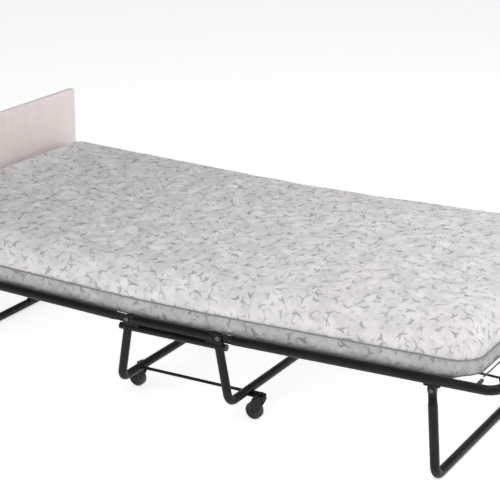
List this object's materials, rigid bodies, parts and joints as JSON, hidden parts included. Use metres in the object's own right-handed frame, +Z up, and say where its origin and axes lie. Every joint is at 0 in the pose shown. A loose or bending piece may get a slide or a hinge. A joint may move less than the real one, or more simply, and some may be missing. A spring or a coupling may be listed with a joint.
{
  "type": "folding cot",
  "caption": "Folding rollaway cot: black steel-tube frame that folds up at the middle, padded mattress, flat headboard panel, self-folding end legs and castered centre.",
  "frame": {"origin": "on the floor, below the centre of the outline of the open bed", "axes": "+X towards the foot end, +Y to the left side rail of someone lying on their back, +Z up"},
  "size_m": [1.9854, 1.041, 0.6],
  "materials": {
    "black_enamel": "semi-gloss black enamel on steel tube",
    "spring_wire": "dull galvanised spring wire",
    "zinc_fasteners": "dull zinc",
    "caster_steel": "black pressed steel",
    "caster_tread": "black moulded wheel",
    "black_plastic": "black moulded plug",
    "mattress_ticking": "white quilted ticking with a fine grey stipple pattern",
    "headboard_laminate": "pale pinkish-beige laminate",
    "headboard_edge": "lighter edge band"
  },
  "bodies": {
    "carriage": {"bridge_cross_tube_foot": "black_enamel", "bridge_cross_tube_head": "black_enamel", "bridge_rail_left": "black_enamel", "bridge_rail_plugs": "black_plastic", "bridge_rail_right": "black_enamel", "caster_leg_foot": "black_enamel", "caster_leg_head": "black_enamel", "caster_plates": "black_enamel", "centre_rail_left": "black_enamel", "centre_rail_plugs": "black_plastic", "centre_rail_right": "black_enamel", "deck_hinge_ears_foot": "black_enamel", "deck_hinge_ears_head": "black_enamel", "deck_pivot_rivets": "zinc_fasteners", "deck_springs_centre": "spring_wire", "link_lug_foot": "black_enamel", "link_lug_head": "black_enamel", "link_pins": "zinc_fasteners", "mattress_centre": "mattress_ticking", "spring_deck_centre": "spring_wire", "tie_rod_left": "black_enamel", "tie_rod_right": "black_enamel"},
    "head_deck": {"deck_frame_head": "black_enamel", "deck_cross_tubes_head": "black_enamel", "leg_hinge_ears_head": "black_enamel", "leg_pivot_rivets_head": "zinc_fasteners", "spring_deck_head": "spring_wire", "deck_springs_head": "spring_wire", "mattress_head": "mattress_ticking", "headboard_panel": "headboard_laminate", "headboard_edge_band": "headboard_edge", "headboard_straps": "black_enamel", "headboard_screws": "zinc_fasteners"},
    "foot_deck": {"deck_frame_foot": "black_enamel", "deck_cross_tubes_foot": "black_enamel", "leg_hinge_ears_foot": "black_enamel", "leg_pivot_rivets_foot": "zinc_fasteners", "spring_deck_foot": "spring_wire", "deck_springs_foot": "spring_wire", "mattress_foot": "mattress_ticking"},
    "head_leg": {"leg_loop_head": "black_enamel", "leg_link_lug_head": "black_enamel", "leg_link_pin_head": "black_enamel"},
    "foot_leg": {"leg_loop_foot": "black_enamel", "leg_link_lug_foot": "black_enamel", "leg_link_pin_foot": "black_enamel"},
    "head_link": {"link_rod_head": "black_enamel"},
    "foot_link": {"link_rod_foot": "black_enamel"},
    "fork_head_right": {"caster_head_right_fork": "caster_steel", "caster_head_right_axle": "caster_steel"},
    "wheel_head_right": {"caster_head_right_wheel": "caster_tread"},
    "fork_head_left": {"caster_head_left_fork": "caster_steel", "caster_head_left_axle": "caster_steel"},
    "wheel_head_left": {"caster_head_left_wheel": "caster_tread"},
    "fork_foot_right": {"caster_foot_right_fork": "caster_steel", "caster_foot_right_axle": "caster_steel"},
    "wheel_foot_right": {"caster_foot_right_wheel": "caster_tread"},
    "fork_foot_left": {"caster_foot_left_fork": "caster_steel", "caster_foot_left_axle": "caster_steel"},
    "wheel_foot_left": {"caster_foot_left_wheel": "caster_tread"}
  },
  "joints": [
    {"name": "head_fold", "type": "hinge", "parent": "carriage", "child": "head_deck", "pos_m": [-0.08769, 0, 0.264], "axis": [0, 1, 0], "range_deg": [0, 87.9]},
    {"name": "head_leg_fold", "type": "hinge", "parent": "head_deck", "child": "head_leg", "pos_m": [-0.79669, 0, 0.2625], "axis": [0, -1, 0], "range_deg": [-0.5, 88.4]},
    {"name": "head_link_swing", "type": "hinge", "parent": "carriage", "child": "head_link", "pos_m": [-0.08519, 0, 0.103], "axis": [0, 1, 0], "range_deg": [-0.5, 88.4]},
    {"name": "foot_fold", "type": "hinge", "parent": "carriage", "child": "foot_deck", "pos_m": [0.20031, 0, 0.264], "axis": [0, -1, 0], "range_deg": [0, 89]},
    {"name": "foot_leg_fold", "type": "hinge", "parent": "foot_deck", "child": "foot_leg", "pos_m": [0.81131, 0, 0.2473], "axis": [0, 1, 0], "range_deg": [-0.5, 89.5]},
    {"name": "foot_link_swing", "type": "hinge", "parent": "carriage", "child": "foot_link", "pos_m": [0.19781, 0, 0.103], "axis": [0, -1, 0], "range_deg": [-0.5, 89.5]},
    {"name": "swivel_head_right", "type": "hinge", "parent": "carriage", "child": "fork_head_right", "pos_m": [-0.13569, -0.368, 0.07], "axis": [0, 0, 1], "continuous": true},
    {"name": "roll_head_right", "type": "hinge", "parent": "fork_head_right", "child": "wheel_head_right", "pos_m": [-0.15369, -0.368, 0.025], "axis": [0, 1, 0], "continuous": true},
    {"name": "swivel_head_left", "type": "hinge", "parent": "carriage", "child": "fork_head_left", "pos_m": [-0.13569, 0.368, 0.07], "axis": [0, 0, 1], "continuous": true},
    {"name": "roll_head_left", "type": "hinge", "parent": "fork_head_left", "child": "wheel_head_left", "pos_m": [-0.15369, 0.368, 0.025], "axis": [0, 1, 0], "continuous": true},
    {"name": "swivel_foot_right", "type": "hinge", "parent": "carriage", "child": "fork_foot_right", "pos_m": [0.26631, -0.401, 0.07], "axis": [0, 0, 1], "continuous": true},
    {"name": "roll_foot_right", "type": "hinge", "parent": "fork_foot_right", "child": "wheel_foot_right", "pos_m": [0.24831, -0.401, 0.025], "axis": [0, 1, 0], "continuous": true},
    {"name": "swivel_foot_left", "type": "hinge", "parent": "carriage", "child": "fork_foot_left", "pos_m": [0.26631, 0.401, 0.07], "axis": [0, 0, 1], "continuous": true},
    {"name": "roll_foot_left", "type": "hinge", "parent": "fork_foot_left", "child": "wheel_foot_left", "pos_m": [0.24831, 0.401, 0.025], "axis": [0, 1, 0], "continuous": true}
  ],
  "couplings": [
    {"joint": "head_leg_fold", "follows": "head_fold", "ratio": 1},
    {"joint": "head_link_swing", "follows": "head_fold", "ratio": 1},
    {"joint": "foot_leg_fold", "follows": "foot_fold", "ratio": 1},
    {"joint": "foot_link_swing", "follows": "foot_fold", "ratio": 1}
  ]
}
